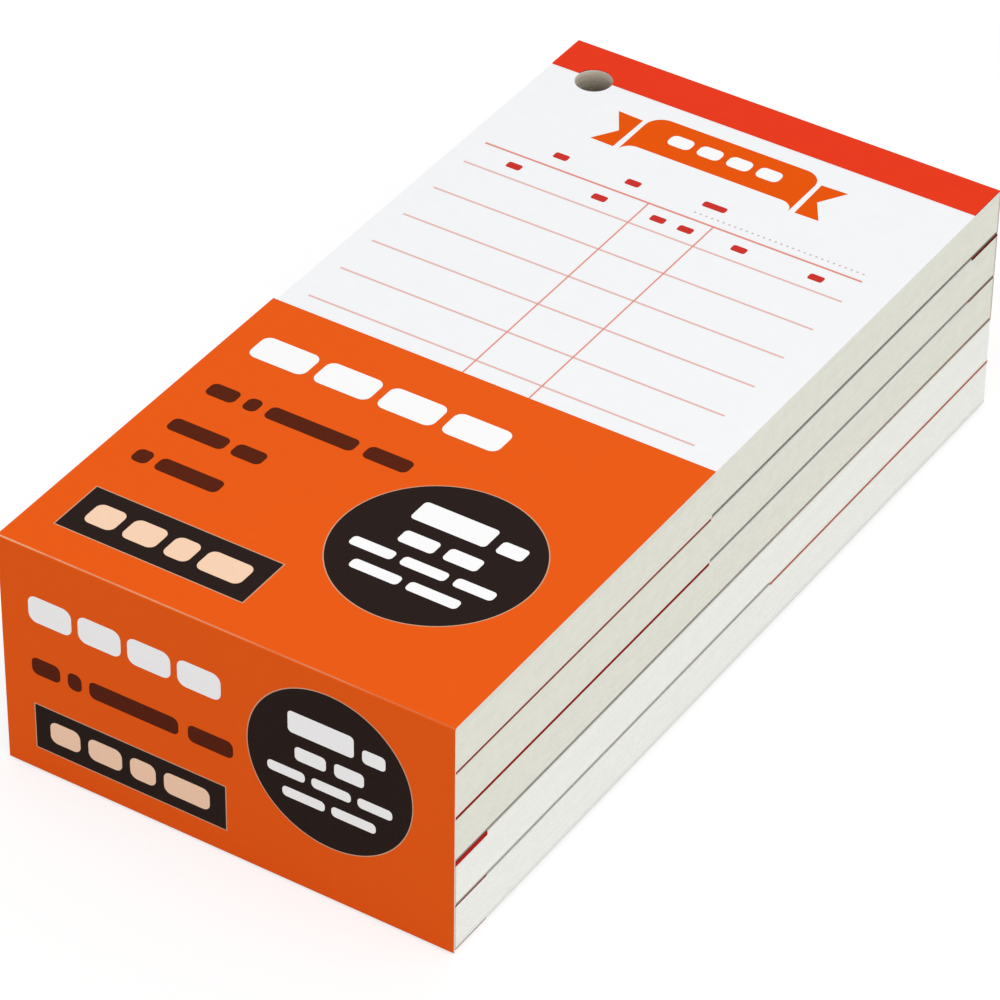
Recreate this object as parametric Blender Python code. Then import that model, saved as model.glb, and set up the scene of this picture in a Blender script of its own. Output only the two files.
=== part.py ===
"""Pack of head-bound guest check pads, held at the foot end by one folded card label.

Each pad is a stack of slips on a backing board. The slips and board are glued along the head,
bound there with a folded tape and punched with one hanging hole. The pads are stacked face up,
the lower ones turned end for end, and a card label folds round the foot end of the stack.

Metres, +Z up, +Y towards the heads of the upper pads, origin under the middle of the pack.
"""

import math

import bmesh
import bpy
from mathutils import Matrix, Vector

MM = 0.001

# Pack
PAD_COUNT = 5
UPRIGHT_PADS = 3  # counted from the top; the pads below these are turned end for end
PAD_CLEARANCE = 0.05 * MM  # air between one pad and the next, and between the pads and the label

# Slips and board of one pad
SLIP_WIDTH = 75.0 * MM
SLIP_LENGTH = 150.0 * MM
SLIP_THICKNESS = 0.07 * MM
SLIP_COUNT = 100
BOARD_THICKNESS = 0.62 * MM
SEAT_GAP = 0.02 * MM  # between pieces that lie on each other inside a pad

# Bound head of one pad
GLUE_THICKNESS = 0.21 * MM
TAPE_THICKNESS = 0.12 * MM
TAPE_FLAP = 8.0 * MM  # depth of the front and back flaps, measured from the outside of the head
TAPE_FOLD_RADIUS = 0.3 * MM  # outside of the two folds
TAPE_FOLD_STEPS = 4

# Punched hanging hole
HOLE_DIAMETER = 6.0 * MM
HOLE_FROM_SIDE = 8.0 * MM
HOLE_FROM_HEAD = 8.6 * MM
HOLE_SIDES = 48

# Label sheet on the front of each pad
PAD_LABEL_THICKNESS = 0.1 * MM
PAD_LABEL_DEPTH = 66.0 * MM

# Folded label of the pack
LABEL_THICKNESS = 0.2 * MM
LABEL_WIDTH = 75.5 * MM  # a little wider than the pads, so its cut sides stand proud of theirs
LABEL_BASE_WIDTH = 74.0 * MM  # the bottom panel, trimmed so that it doesn't show beside the pads
LABEL_DEPTH = 67.0 * MM  # top and bottom panels, from the outside of the end panel
CREASE_RADIUS = 0.3 * MM  # inside of the two folds
CREASE_STEPS = 4  # facets in each panel's half of a fold
CREASE_GAP = 0.02 * MM  # between the two halves of a fold

# Colours, linear, read by eye from the object
RED_TAPE = (0.80, 0.045, 0.014)
ORANGE_CARD = (0.84, 0.107, 0.008)
WHITE_PAPER = (0.91, 0.92, 0.94)
PAGE_EDGE = (0.74, 0.74, 0.68)
GREY_BOARD = (0.48, 0.45, 0.40)
CLEAR_GLUE = (0.85, 0.82, 0.72)

# Worked out from the sizes above
BLOCK_HEIGHT = (SLIP_COUNT - 1) * SLIP_THICKNESS
BLOCK_BASE = BOARD_THICKNESS + SEAT_GAP
FRONT_SLIP_BASE = BLOCK_BASE + BLOCK_HEIGHT + SEAT_GAP
PAD_FRONT = FRONT_SLIP_BASE + SLIP_THICKNESS
FRONT_BUILD = SEAT_GAP + max(TAPE_THICKNESS, PAD_LABEL_THICKNESS)
BACK_BUILD = SEAT_GAP + TAPE_THICKNESS
HEAD_BUILD = SEAT_GAP + GLUE_THICKNESS + SEAT_GAP + TAPE_THICKNESS
PAD_LENGTH = SLIP_LENGTH + HEAD_BUILD
PAD_PITCH = BACK_BUILD + PAD_FRONT + FRONT_BUILD + PAD_CLEARANCE

CREASE_OUTSIDE = CREASE_RADIUS + LABEL_THICKNESS
PACK_LENGTH = CREASE_OUTSIDE + PAD_LENGTH
PACK_FOOT = -PACK_LENGTH / 2
PADS_FOOT = PACK_FOOT + CREASE_OUTSIDE
PADS_MIDDLE = PADS_FOOT + PAD_LENGTH / 2
LOWEST_PAD_BASE = LABEL_THICKNESS + PAD_CLEARANCE + BACK_BUILD
PACK_HEIGHT = LABEL_THICKNESS + PAD_CLEARANCE + PAD_COUNT * PAD_PITCH + LABEL_THICKNESS


def clear_scene():
    """Remove every object from the scene."""
    for thing in list(bpy.data.objects):
        bpy.data.objects.remove(thing, do_unlink=True)


def finish(name, colour, roughness):
    """Make a plain material of one colour."""
    material = bpy.data.materials.new(name)
    material.use_nodes = True
    shader = material.node_tree.nodes["Principled BSDF"]
    shader.inputs["Base Color"].default_value = (*colour, 1.0)
    shader.inputs["Roughness"].default_value = roughness
    shader.inputs["Metallic"].default_value = 0.0
    return material


def add_empty(name, location, turn=0.0, parent=None):
    """Add an empty that carries a group of pieces, turned about Z."""
    empty = bpy.data.objects.new(name, None)
    empty.location = location
    empty.rotation_euler = (0.0, 0.0, turn)
    empty.parent = parent
    bpy.context.scene.collection.objects.link(empty)
    return empty


def add_object(name, mesh_builder, material, parent, location=(0.0, 0.0, 0.0)):
    """Turn a bmesh into a named object under its parent."""
    mesh = bpy.data.meshes.new(name)
    bmesh.ops.recalc_face_normals(mesh_builder, faces=mesh_builder.faces[:])
    mesh_builder.to_mesh(mesh)
    mesh_builder.free()
    piece = bpy.data.objects.new(name, mesh)
    piece.data.materials.append(material)
    piece.parent = parent
    piece.location = location
    bpy.context.scene.collection.objects.link(piece)
    return piece


def sheet(low, high):
    """Make a flat rectangular block between two corners."""
    builder = bmesh.new()
    size = Vector(high) - Vector(low)
    middle = (Vector(high) + Vector(low)) / 2
    place = Matrix.Translation(middle) @ Matrix.Diagonal((*size, 1.0))
    bmesh.ops.create_cube(builder, size=1.0, matrix=place)
    return builder


def extrude_across(outline, width):
    """Extrude a closed outline of (y, z) points across the pack, centred on X."""
    builder = bmesh.new()
    corners = [builder.verts.new((-width / 2, y, z)) for y, z in outline]
    side = builder.faces.new(corners)
    pulled = bmesh.ops.extrude_face_region(builder, geom=[side])
    moved = [item for item in pulled["geom"] if isinstance(item, bmesh.types.BMVert)]
    bmesh.ops.translate(builder, verts=moved, vec=(width, 0.0, 0.0))
    return builder


def arc(centre, radius, start, end, steps):
    """Points along an arc in the YZ plane, from one angle to another in degrees."""
    angles = [math.radians(start + (end - start) * step / steps) for step in range(steps + 1)]
    return [(centre[0] + radius * math.cos(a), centre[1] + radius * math.sin(a)) for a in angles]


def punch(piece, cutter):
    """Cut the hanging hole through a piece."""
    cut = piece.modifiers.new("hanging_hole", "BOOLEAN")
    cut.operation = "DIFFERENCE"
    cut.solver = "EXACT"
    cut.object = cutter


def hole_cutter(name, parent):
    """Make the round cutter of one pad's hanging hole, which stays out of the model."""
    builder = bmesh.new()
    place = Matrix.Translation((0.0, 0.0, PAD_FRONT / 2))
    bmesh.ops.create_cone(
        builder,
        cap_ends=True,
        segments=HOLE_SIDES,
        radius1=HOLE_DIAMETER / 2,
        radius2=HOLE_DIAMETER / 2,
        depth=2 * PAD_PITCH,
        matrix=place,
    )
    centre = (-SLIP_WIDTH / 2 + HOLE_FROM_SIDE, PAD_LENGTH / 2 - HOLE_FROM_HEAD, 0.0)
    cutter = add_object(name, builder, finish(name, WHITE_PAPER, 1.0), parent, centre)
    cutter.hide_render = True
    cutter.display_type = "WIRE"
    return cutter


def tape_outline():
    """Outline of the folded binding tape, seen along X: back flap, head wall and front flap."""
    head = PAD_LENGTH / 2
    flap_end = head - TAPE_FLAP
    inner_head = head - TAPE_THICKNESS
    inner_back = -SEAT_GAP
    inner_front = PAD_FRONT + SEAT_GAP
    outer_back = inner_back - TAPE_THICKNESS
    outer_front = inner_front + TAPE_THICKNESS
    radius = TAPE_FOLD_RADIUS
    outside = [(flap_end, outer_back)]
    outside += arc((head - radius, outer_back + radius), radius, -90.0, 0.0, TAPE_FOLD_STEPS)
    outside += arc((head - radius, outer_front - radius), radius, 0.0, 90.0, TAPE_FOLD_STEPS)
    outside += [(flap_end, outer_front)]
    inside = [(flap_end, inner_front), (inner_head, inner_front)]
    inside += [(inner_head, inner_back), (flap_end, inner_back)]
    return outside + inside


def build_pad(number, materials):
    """Build one pad, counted from the top of the pack."""
    pads_below = PAD_COUNT - number
    turn = 0.0 if number <= UPRIGHT_PADS else math.pi
    name = f"pad_{number}"
    carrier = add_empty(name, (0.0, PADS_MIDDLE, LOWEST_PAD_BASE + pads_below * PAD_PITCH), turn)
    cutter = hole_cutter(f"{name}_hole_cutter", carrier)

    side = SLIP_WIDTH / 2
    foot = -PAD_LENGTH / 2
    slip_head = foot + SLIP_LENGTH

    board = sheet((-side, foot, 0.0), (side, slip_head, BOARD_THICKNESS))
    block = sheet((-side, foot, BLOCK_BASE), (side, slip_head, BLOCK_BASE + BLOCK_HEIGHT))
    front = sheet((-side, foot, FRONT_SLIP_BASE), (side, slip_head, PAD_FRONT))
    tape = extrude_across(tape_outline(), SLIP_WIDTH)
    punch(add_object(f"{name}_backing_board", board, materials["board"], carrier), cutter)
    punch(add_object(f"{name}_slip_block", block, materials["slips"], carrier), cutter)
    punch(add_object(f"{name}_front_slip", front, materials["paper"], carrier), cutter)
    punch(add_object(f"{name}_binding_tape", tape, materials["tape"], carrier), cutter)

    glue_face = slip_head + SEAT_GAP
    glue = sheet((-side, glue_face, 0.0), (side, glue_face + GLUE_THICKNESS, PAD_FRONT))
    add_object(f"{name}_head_glue", glue, materials["glue"], carrier)

    label_base = PAD_FRONT + SEAT_GAP
    label_top = label_base + PAD_LABEL_THICKNESS
    label = sheet((-side, foot, label_base), (side, foot + PAD_LABEL_DEPTH, label_top))
    add_object(f"{name}_label", label, materials["card"], carrier)


def crease_line(end):
    """Hinge line of a fold, on its outside halfway round: end is +1 at the top, -1 at the bottom."""
    half_height = PACK_HEIGHT / 2 - CREASE_OUTSIDE
    reach = CREASE_OUTSIDE * math.sqrt(0.5)
    return (PADS_FOOT - reach, PACK_HEIGHT / 2 + end * (half_height + reach))


def crease_centre(end):
    """Middle of a fold's round, seen along X."""
    return (PADS_FOOT, PACK_HEIGHT / 2 + end * (PACK_HEIGHT / 2 - CREASE_OUTSIDE))


def half_fold(end, start, finish_angle):
    """Outside and inside points of half a fold, both running from start to finish_angle."""
    centre = crease_centre(end)
    outside = arc(centre, CREASE_OUTSIDE, start, finish_angle, CREASE_STEPS)
    inside = arc(centre, CREASE_RADIUS, start, finish_angle, CREASE_STEPS)
    return outside, inside


def build_label(material):
    """Build the pack's label: three card panels that meet in two folds."""
    slack = math.degrees(CREASE_GAP / 2 / CREASE_RADIUS)
    free_edge = PACK_FOOT + LABEL_DEPTH

    bottom_outside, bottom_inside = half_fold(-1, 225.0 + slack, 270.0)
    bottom = bottom_outside + [(free_edge, 0.0), (free_edge, LABEL_THICKNESS)] + bottom_inside[::-1]

    lower_outside, lower_inside = half_fold(-1, 180.0, 225.0 - slack)
    upper_outside, upper_inside = half_fold(1, 135.0 + slack, 180.0)
    end = upper_outside + lower_outside + lower_inside[::-1] + upper_inside[::-1]

    top_outside, top_inside = half_fold(1, 90.0, 135.0 - slack)
    top_inner_face = PACK_HEIGHT - LABEL_THICKNESS
    top = [(free_edge, top_inner_face), (free_edge, PACK_HEIGHT)] + top_outside + top_inside[::-1]

    lower_crease = crease_line(-1)
    upper_crease = crease_line(1)
    carrier = add_empty("pack_label", (0.0, *lower_crease))
    panels = (
        ("label_bottom_panel", bottom, lower_crease, LABEL_BASE_WIDTH),
        ("label_end_panel", end, lower_crease, LABEL_WIDTH),
        ("label_top_panel", top, upper_crease, LABEL_WIDTH),
    )
    for name, outline, crease, width in panels:
        about_crease = [(y - crease[0], z - crease[1]) for y, z in outline]
        place = (0.0, crease[0] - lower_crease[0], crease[1] - lower_crease[1])
        add_object(name, extrude_across(about_crease, width), material, carrier, place)


def build_pack():
    """Build the five pads from the top down, then the label round them."""
    materials = {
        "board": finish("grey_board", GREY_BOARD, 0.9),
        "slips": finish("page_edges", PAGE_EDGE, 0.9),
        "paper": finish("slip_paper", WHITE_PAPER, 0.8),
        "glue": finish("padding_glue", CLEAR_GLUE, 0.5),
        "tape": finish("binding_tape", RED_TAPE, 0.55),
        "card": finish("orange_card", ORANGE_CARD, 0.5),
    }
    for number in range(1, PAD_COUNT + 1):
        build_pad(number, materials)
    build_label(materials["card"])


clear_scene()
build_pack()
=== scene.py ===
"""Dressed model of a pack of guest check pads, held by one folded card label.

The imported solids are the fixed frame. This script cuts the slips one by one, presses the ends of
the binding tape over the long edges, lays the label sheets between the pads, prints the forms and
the label, gives every other solid its finish, and sets up the studio.
"""

import logging
import math
import random
from dataclasses import dataclass, field, replace
from enum import Enum

import bmesh
import bpy
from mathutils import Matrix, Vector

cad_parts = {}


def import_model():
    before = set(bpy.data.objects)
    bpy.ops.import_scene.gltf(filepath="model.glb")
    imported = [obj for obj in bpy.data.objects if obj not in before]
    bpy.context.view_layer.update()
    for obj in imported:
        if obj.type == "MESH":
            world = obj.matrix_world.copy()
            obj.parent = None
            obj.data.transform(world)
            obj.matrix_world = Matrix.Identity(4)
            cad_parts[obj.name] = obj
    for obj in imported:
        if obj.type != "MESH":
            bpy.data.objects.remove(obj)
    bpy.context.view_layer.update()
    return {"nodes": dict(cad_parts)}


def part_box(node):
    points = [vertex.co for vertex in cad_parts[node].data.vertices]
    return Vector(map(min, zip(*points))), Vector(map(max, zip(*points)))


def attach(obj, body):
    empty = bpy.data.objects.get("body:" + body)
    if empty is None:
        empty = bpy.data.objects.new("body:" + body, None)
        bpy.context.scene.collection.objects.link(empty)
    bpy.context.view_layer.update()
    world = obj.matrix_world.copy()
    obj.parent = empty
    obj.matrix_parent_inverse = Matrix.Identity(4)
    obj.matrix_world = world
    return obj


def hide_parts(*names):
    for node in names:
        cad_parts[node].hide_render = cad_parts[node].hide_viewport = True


MM = 0.001
NOISE_SUM = (0.6, 1.4)  # The range that a sum of two noises mostly keeps to.
FOOT_REACH_MM = 0.2  # The slips' foot edges bear on the label's end panel.
FOOT_SPARE_MM = 0.06  # Room for the scatter of the slips at a free foot.
# Kinds of shader node that come up again and again.
NOISE = "ShaderNodeTexNoise"
MATH = "ShaderNodeMath"
MIX = "ShaderNodeMix"
MAP_RANGE = "ShaderNodeMapRange"
SPLIT = "ShaderNodeSeparateXYZ"
LOG = logging.getLogger("guest_check_pads")

Colour = tuple[float, float, float, float]
Place = tuple[float, float, float]
Point = tuple[float, float]
Span = tuple[float, float]
BarRow = tuple[tuple[Span, ...], Span]
Node = bpy.types.Node
Socket = bpy.types.NodeSocket
Tree = bpy.types.NodeTree
Builder = bmesh.types.BMesh
Inputs = dict[str | int, object]
Pattern = tuple[Node, ...]


def linear(colour: str) -> Colour:
    """Turn an sRGB hex colour into a linear one.

    Args:
        colour: Six hex digits after a hash sign.

    Returns:
        Linear red, green, blue and an alpha of one.
    """
    channels = [int(colour[at : at + 2], 16) / 255 for at in (1, 3, 5)]
    lit = [c / 12.92 if c <= 0.04045 else ((c + 0.055) / 1.055) ** 2.4 for c in channels]
    return (lit[0], lit[1], lit[2], 1.0)


def set_inputs(tree: Tree, node: Node, inputs: Inputs) -> None:
    """Set or link a node's inputs.

    Args:
        tree: The tree that holds the node.
        node: The node.
        inputs: For each input, by name or number, its value, its colour in hex, or the socket or
            node that it is linked from. A node stands for its first output that is in use.
    """
    for place, value in inputs.items():
        if isinstance(value, str):
            value = linear(value)
        if isinstance(value, Node):
            value = next(output for output in value.outputs if output.enabled)
        if isinstance(value, Socket):
            tree.links.new(value, node.inputs[place])
        else:
            node.inputs[place].default_value = value


def add_node(tree: Tree, kind: str, inputs: Inputs | None = None, **settings: object) -> Node:
    """Add a node with its settings, values and links.

    Args:
        tree: The tree that gets the node.
        kind: The node's type name.
        inputs: Its inputs, as they are set or linked.
        settings: Its own properties.

    Returns:
        The new node.
    """
    node = tree.nodes.new(kind)
    for name, value in settings.items():
        setattr(node, name, value)
    set_inputs(tree, node, inputs or {})
    return node


def per_mm(size: float) -> float:
    """Texture scale, in repeats per metre, of a pattern of this size in millimetres."""
    return 1.0 / (size * MM)


def overlay(tree: Tree, fine: Node, soft: Node) -> Node:
    """Lay a fine noise over a soft one.

    Args:
        tree: The node tree of both.
        fine: The fine noise.
        soft: The soft noise.

    Returns:
        Their sum, spread from zero to one.
    """
    both = add_node(tree, MATH, {0: fine, 1: soft}, operation="ADD")
    low, high = NOISE_SUM
    return add_node(tree, MAP_RANGE, {"Value": both, "From Min": low, "From Max": high})


@dataclass(frozen=True)
class Finish:
    """What a surface is made of: its colours, how dull and reflective it is, and its relief."""

    name: str
    colour: str
    shade: str
    roughness: float
    specular: float
    relief_mm: float = 0.0
    relief_strength: float = 0.0

    def draw(self, tree: Tree, where: Node) -> Pattern:
        """Draw the surface's own pattern.

        Args:
            tree: The material's node tree.
            where: Its coordinates node.

        Returns:
            The colour and, where the surface has a relief, its height.
        """
        raise NotImplementedError

    def tone(self, tree: Tree, amount: Node) -> Node:
        """Go from the shade towards the full colour by an amount from zero to one."""
        return add_node(tree, MIX, {0: amount, 6: self.shade, 7: self.colour}, data_type="RGBA")

    def build(self) -> bpy.types.Material:
        """Make the material.

        Returns:
            The material, with its pattern and its relief.
        """
        material = bpy.data.materials.new(self.name)
        material.use_nodes = True
        tree = material.node_tree
        colour, *height = self.draw(tree, add_node(tree, "ShaderNodeTexCoord"))
        gloss = {"Roughness": self.roughness, "Specular IOR Level": self.specular}
        inputs = {"Base Color": colour, **gloss}
        if height:
            relief = {"Strength": self.relief_strength, "Distance": self.relief_mm * MM}
            inputs["Normal"] = add_node(tree, "ShaderNodeBump", {"Height": height[0], **relief})
        set_inputs(tree, tree.nodes["Principled BSDF"], inputs)
        return material


@dataclass(frozen=True)
class BondPaper(Finish):
    """Uncoated bond paper: a cloudy formation under a fine, dull, felted grain.

    Single fibres are too thin to show, so the grain is as coarse as a bundle of them.
    """

    cloud_mm: float = 2.6
    grain_mm: float = 0.22
    relief_mm: float = 0.006
    relief_strength: float = 0.35

    def draw(self, tree: Tree, where: Node) -> Pattern:
        """Draw the clouds and the grain.

        Args:
            tree: The material's node tree.
            where: Its coordinates node.

        Returns:
            The colour and the grain's height.
        """
        at = where.outputs["Object"]
        cloud = add_node(
            tree, NOISE, {"Vector": at, "Scale": per_mm(self.cloud_mm), "Detail": 5.0, "Roughness": 0.6}
        )
        grain = add_node(tree, NOISE, {"Vector": at, "Scale": per_mm(self.grain_mm), "Detail": 3.0})
        return self.tone(tree, cloud), grain


@dataclass(frozen=True)
class CutPages(Finish):
    """Guillotined edges of a stack of slips: faint streaks along the slips, and soft mottling.

    A slip of 0.07 mm is too thin to show, so a streak is as thick as three of them.
    """

    streak_mm: float = 0.21
    run_mm: float = 14.0
    mottle_mm: float = 2.2
    relief_mm: float = 0.02
    relief_strength: float = 0.3

    def draw(self, tree: Tree, where: Node) -> Pattern:
        """Draw the streaks and the mottling.

        Args:
            tree: The material's node tree.
            where: Its coordinates node.

        Returns:
            The colour and the streaks' height.
        """
        at = where.outputs["Object"]
        run = per_mm(self.run_mm)
        drawn = add_node(
            tree, "ShaderNodeMapping", {"Vector": at, "Scale": (run, run, per_mm(self.streak_mm))}
        )
        streak = add_node(
            tree, NOISE, {"Vector": drawn, "Scale": 1.0, "Detail": 3.0, "Roughness": 0.65}
        )
        mottle = add_node(
            tree,
            NOISE,
            {"Vector": at, "Scale": per_mm(self.mottle_mm), "Detail": 4.0, "Roughness": 0.6},
        )
        amount = overlay(tree, streak, mottle)
        return self.tone(tree, amount), streak


@dataclass(frozen=True)
class PunchedWallPaintedShade(Finish):
    """Wall of the punched hole, in painted shade: pale at the rim and darker with depth, as the hole's
    own shade would fall.
    """

    front_m: float = 0.0
    shade_depth_mm: float = 4.8
    shade_fall_off: float = 1.5
    streak_mm: float = 0.42
    uneven: float = 0.06

    def draw(self, tree: Tree, where: Node) -> Pattern:
        """Draw the painted shade, from the pale rim to the darker depth.

        Args:
            tree: The material's node tree.
            where: Its coordinates node.

        Returns:
            The colour alone.
        """
        at = where.outputs["Object"]
        place = add_node(tree, SPLIT, {0: at})
        bottom = self.front_m - self.shade_depth_mm * MM
        near = add_node(
            tree, MAP_RANGE, {"Value": place.outputs["Z"], "From Min": bottom, "From Max": self.front_m}
        )
        # Painted shade: the colour darkens with depth below the pad's front, standing for the shade
        # inside the hole.
        pale = add_node(tree, MATH, {0: near, 1: self.shade_fall_off}, operation="POWER")
        streak = add_node(tree, NOISE, {"Vector": at, "Scale": per_mm(self.streak_mm), "Detail": 3.0})
        sway = add_node(
            tree, MAP_RANGE, {"Value": streak, "To Min": -self.uneven, "To Max": self.uneven}
        )
        amount = add_node(tree, MATH, {0: pale, 1: sway}, operation="ADD", use_clamp=True)
        return (self.tone(tree, amount),)


@dataclass(frozen=True)
class PrintedCard(Finish):
    """Card printed on its outer face: an even matt ink, a pale core at its cuts and its back.

    The ink is worn away along a fold, where a thin pale line shows: partly the bare core and partly
    a painted highlight of the bend. The card's grain is too fine to show, so it is drawn coarser.
    """

    core: str = "#F1E9DF"
    # Colour of the worn fold, which also stands for the bend's painted highlight.
    rub_and_highlight_colour: str = "#FFC49A"
    outward: Place = (0.0, 0.0, 1.0)
    face_turn: float = 0.3
    fold_turn: Span = (0.42, 0.48)
    mottle_mm: float = 1.6
    grain_mm: float = 0.3
    rub_mm: float = 7.0
    rub_noise: Span = (0.3, 0.6)
    least_rub: float = 0.45
    side_mm: float = 37.5
    side_wear_and_highlight: Span = (0.95, 0.12)
    relief_mm: float = 0.006
    relief_strength: float = 0.2

    def wear_and_highlight(self, tree: Tree, where: Node) -> Node:
        """Mark the folds with worn ink and a painted highlight of the bend, in patches and most at
        their left ends.

        Args:
            tree: The material's node tree.
            where: Its coordinates node.

        Returns:
            How strong the worn ink and the painted highlight are, from zero to one.
        """
        at = where.outputs["Object"]
        turned = add_node(tree, SPLIT, {0: where.outputs["Normal"]})
        product = add_node(
            tree, MATH, {0: turned.outputs["Y"], 1: turned.outputs["Z"]}, operation="MULTIPLY"
        )
        bent = add_node(tree, MATH, {0: product}, operation="ABSOLUTE")
        flat, folded = self.fold_turn
        on_fold = add_node(tree, MAP_RANGE, {"Value": bent, "From Min": flat, "From Max": folded})
        place = add_node(tree, SPLIT, {0: at})
        # The fade from the left end and the patches shape both the worn ink and the painted highlight.
        left, right = self.side_wear_and_highlight
        along = add_node(
            tree,
            MAP_RANGE,
            {
                "Value": place.outputs["X"],
                "From Min": -self.side_mm * MM,
                "From Max": self.side_mm * MM,
                "To Min": left,
                "To Max": right,
            },
        )
        rub = add_node(
            tree, NOISE, {"Vector": at, "Scale": per_mm(self.rub_mm), "Detail": 5.0, "Roughness": 0.7}
        )
        low, high = self.rub_noise
        patchy = add_node(
            tree, MAP_RANGE, {"Value": rub, "From Min": low, "From Max": high, "To Min": self.least_rub}
        )
        wear_highlight_share = on_fold
        for share in (along, patchy):
            wear_highlight_share = add_node(tree, MATH, {0: wear_highlight_share, 1: share}, operation="MULTIPLY")
        return wear_highlight_share

    def draw(self, tree: Tree, where: Node) -> Pattern:
        """Draw the printed face and the bare core.

        Args:
            tree: The material's node tree.
            where: Its coordinates node.

        Returns:
            The colour and the grain's height.
        """
        at = where.outputs["Object"]
        facing = add_node(
            tree,
            "ShaderNodeVectorMath",
            {0: where.outputs["Normal"], 1: Vector(self.outward).normalized()},
            operation="DOT_PRODUCT",
        )
        outer = add_node(tree, MATH, {0: facing, 1: self.face_turn}, operation="GREATER_THAN")
        mottle = add_node(
            tree,
            NOISE,
            {"Vector": at, "Scale": per_mm(self.mottle_mm), "Detail": 4.0, "Roughness": 0.6},
        )
        ink = self.tone(tree, mottle)
        # Along a fold the ink turns pale: worn ink, and a painted highlight of the bend.
        printed = add_node(
            tree, MIX, {0: self.wear_and_highlight(tree, where), 6: ink, 7: self.rub_and_highlight_colour}, data_type="RGBA"
        )
        card = add_node(tree, MIX, {0: outer, 6: self.core, 7: printed}, data_type="RGBA")
        grain = add_node(tree, NOISE, {"Vector": at, "Scale": per_mm(self.grain_mm), "Detail": 2.0})
        return card, grain


@dataclass(frozen=True)
class GrainedSheet(Finish):
    """A fibrous sheet, such as binding tape or dried glue, with fibres drawn across it.

    Its cut sides can have a colour of their own, darkened to paint the shade of the joints where
    they sit. The fibres are drawn coarser than real ones, which are too thin to show.
    """

    # Colour of the cut sides: painted shade of the joints they sit in.
    cut: str = ""
    cut_turn: float = 0.7
    fibre_mm: float = 0.9
    fibre_width_mm: float = 0.16
    mottle_mm: float = 3.0
    relief_mm: float = 0.015
    relief_strength: float = 0.35

    def draw(self, tree: Tree, where: Node) -> Pattern:
        """Draw the fibres, and the cut sides in their own colour, which where given is painted shade.

        Args:
            tree: The material's node tree.
            where: Its coordinates node.

        Returns:
            The colour and the fibres' height.
        """
        at = where.outputs["Object"]
        thin = per_mm(self.fibre_width_mm)
        drawn = add_node(
            tree, "ShaderNodeMapping", {"Vector": at, "Scale": (per_mm(self.fibre_mm), thin, thin)}
        )
        fibre = add_node(tree, NOISE, {"Vector": drawn, "Scale": 1.0, "Detail": 4.0, "Roughness": 0.6})
        mottle = add_node(tree, NOISE, {"Vector": at, "Scale": per_mm(self.mottle_mm), "Detail": 3.0})
        side = add_node(tree, SPLIT, {0: where.outputs["Normal"]})
        across = add_node(tree, MATH, {0: side.outputs["X"]}, operation="ABSOLUTE")
        on_shaded_cut = add_node(tree, MATH, {0: across, 1: self.cut_turn}, operation="GREATER_THAN")
        face = self.tone(tree, overlay(tree, fibre, mottle))
        sheet = add_node(tree, MIX, {0: on_shaded_cut, 6: face, 7: self.cut or self.shade}, data_type="RGBA")
        return sheet, fibre


class BackAndShadeLength(Enum):
    """Where along the pack, in metres, a board's back shows as a dark line, which also paints the
    joint's shade.
    """

    WHOLE = (-0.1, 0.1)
    FAR_HALF = (-0.0087, 0.1)
    LABEL_HALF = (-0.1, 0.0092)


@dataclass(frozen=True)
class BackPlyAndJointShade:
    """A board's unlined back, darkened to paint the joint's shade: its colour, how thick it shows, and
    over which length.
    """

    colour: str
    thick_mm: float
    bare: BackAndShadeLength


@dataclass(frozen=True)
class DuplexBoard(Finish):
    """Board lined with pale paper over a grey-brown back, which shows as a line along its edge.

    The line also stands for the shade in the joint below the board (painted shade), and can show over
    part of the board's length only, where no label sheet lies against it.
    """

    back_and_shade: BackPlyAndJointShade = BackPlyAndJointShade("#5C503E", 0.26, BackAndShadeLength.WHOLE)
    underside_m: float = 0.0
    fleck_mm: float = 0.5
    fleck_noise: Span = (0.3, 0.7)
    most_fleck: float = 0.15
    relief_mm: float = 0.02
    relief_strength: float = 0.3

    def draw(self, tree: Tree, where: Node) -> Pattern:
        """Draw the pale lining and the flecked back, whose dark line is partly painted joint shade.

        Args:
            tree: The material's node tree.
            where: Its coordinates node.

        Returns:
            The colour and the flecks' height.
        """
        at = where.outputs["Object"]
        fleck = add_node(
            tree,
            NOISE,
            {"Vector": at, "Scale": per_mm(self.fleck_mm), "Detail": 4.0, "Roughness": 0.65},
        )
        low, high = self.fleck_noise
        speckle = add_node(
            tree,
            MAP_RANGE,
            {"Value": fleck, "From Min": low, "From Max": high, "To Max": self.most_fleck},
        )
        grey = add_node(tree, MIX, {0: speckle, 6: self.back_and_shade.colour, 7: self.shade}, data_type="RGBA")
        place = add_node(tree, SPLIT, {0: at})
        # Painted shade: a dark band along the board's underside stands for the shade in the joint
        # between pads.
        low_down = add_node(
            tree,
            MATH,
            {0: place.outputs["Z"], 1: self.underside_m + self.back_and_shade.thick_mm * MM},
            operation="LESS_THAN",
        )
        start, end = self.back_and_shade.bare.value
        bare = add_node(
            tree,
            MATH,
            {0: place.outputs["Y"], 1: (start + end) / 2, 2: (end - start) / 2},
            operation="COMPARE",
        )
        shown = add_node(tree, MATH, {0: low_down, 1: bare}, operation="MULTIPLY")
        lining = self.tone(tree, fleck)
        board = add_node(tree, MIX, {0: shown, 6: lining, 7: grey}, data_type="RGBA")
        return board, fleck


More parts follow.
